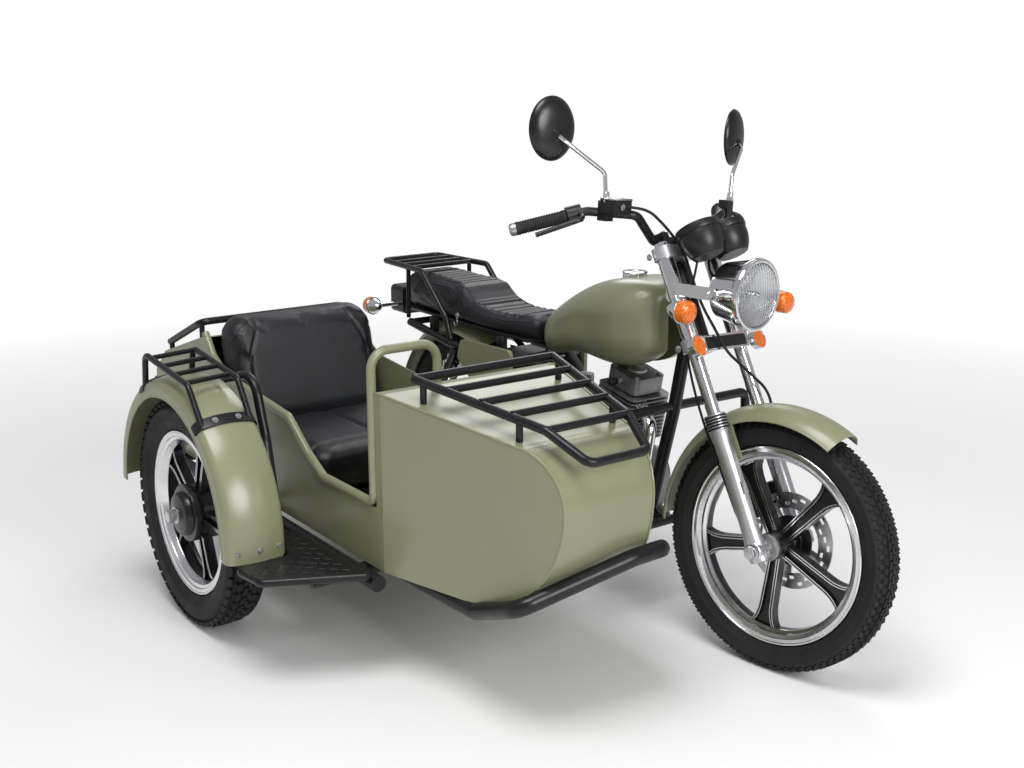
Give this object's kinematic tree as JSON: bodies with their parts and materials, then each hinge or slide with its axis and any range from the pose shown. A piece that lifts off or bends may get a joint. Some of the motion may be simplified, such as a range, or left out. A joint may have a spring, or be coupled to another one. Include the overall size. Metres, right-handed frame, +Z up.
{
  "type": "sidecar motorcycle",
  "caption": "Light motorcycle with an open-topped passenger sidecar on its right, tube racks, a running board, and wheels and steering that turn.",
  "frame": {"origin": "centre of the vehicle's bounding box, on the ground under the three tyres", "axes": "+X forward, +Y to the rider's left, +Z up"},
  "size_m": [2.197, 1.5312, 1.3629],
  "materials": {
    "tyre": "matt tread rubber",
    "wheel_black": "satin black cast wheel with bright machined edges",
    "steel": "satin",
    "fork_silver": "satin silver",
    "chrome": "polished",
    "olive": "satin olive green paint",
    "frame_black": "satin black paint",
    "rubber": "matt",
    "trim_black": "matt black",
    "lens": "clear moulded lens",
    "amber": "amber lens",
    "red_lens": "red lens",
    "alloy": "cast",
    "upholstery": "black synthetic leather, semi gloss"
  },
  "bodies": {
    "vehicle": {"frame": "frame_black", "swingarm": "frame_black", "rear_axle": "steel", "rear_shocks": "chrome", "crankcase": "alloy", "cylinder": "alloy", "exhaust": "chrome", "fuel_tank": "olive", "tank_cap": "chrome", "seat": "upholstery", "side_covers": "olive", "rear_mudguard": "olive", "rear_lamps": "red_lens", "rear_signals": "amber", "air_box": "trim_black", "carburettor": "alloy", "chain_guard": "chrome", "foot_controls": "steel", "tail_rack": "frame_black", "crash_bar": "frame_black", "footrests": "rubber", "drive_chain": "steel", "sidecar_side_panels": "olive", "sidecar_shell": "olive", "entry_rail": "olive", "nose_rack": "frame_black", "boot_rack": "frame_black", "sidecar_seat_base": "frame_black", "sidecar_cushion": "upholstery", "sidecar_backrest": "upholstery", "sidecar_fender": "olive", "fender_rack": "frame_black", "sidecar_chassis": "frame_black", "running_board": "frame_black", "sidecar_axle": "frame_black"},
    "front_fork": {"fork_sliders": "fork_silver", "fork_stanchions": "chrome", "front_axle": "steel", "fork_yokes": "fork_silver", "front_mudguard": "olive", "handlebar": "frame_black", "hand_grips": "rubber", "hand_controls": "trim_black", "mirrors": "frame_black", "headlamp_shell": "chrome", "headlamp_lens": "lens", "instruments": "trim_black", "front_signals": "amber", "fork_plate": "frame_black", "brake_caliper": "trim_black", "brake_hose": "rubber", "speedo_cable": "rubber", "bar_wire": "rubber"},
    "front_wheel_set": {"front_wheel": "wheel_black", "front_tyre": "tyre", "front_brake_disc": "steel"},
    "rear_wheel_set": {"rear_wheel": "wheel_black", "rear_tyre": "tyre"},
    "sidecar_wheel_set": {"sidecar_wheel": "wheel_black", "sidecar_tyre": "tyre"}
  },
  "joints": [
    {"name": "steering", "type": "hinge", "parent": "vehicle", "child": "front_fork", "pos_m": [0.75177, 0.34339, 0.2876], "axis": [-0.4679, 0, 0.8838], "range_deg": [-43.9, 26.1]},
    {"name": "front_wheel_spin", "type": "hinge", "parent": "front_fork", "child": "front_wheel_set", "pos_m": [0.79106, 0.35035, 0.30841], "axis": [-0.1367, 0.988, -0.0724], "continuous": true},
    {"name": "rear_wheel_spin", "type": "hinge", "parent": "vehicle", "child": "rear_wheel_set", "pos_m": [-0.50846, 0.34339, 0.303], "axis": [0, 1, 0], "continuous": true},
    {"name": "sidecar_wheel_spin", "type": "hinge", "parent": "vehicle", "child": "sidecar_wheel_set", "pos_m": [-0.27646, -0.67561, 0.303], "axis": [0, 1, 0], "continuous": true}
  ]
}
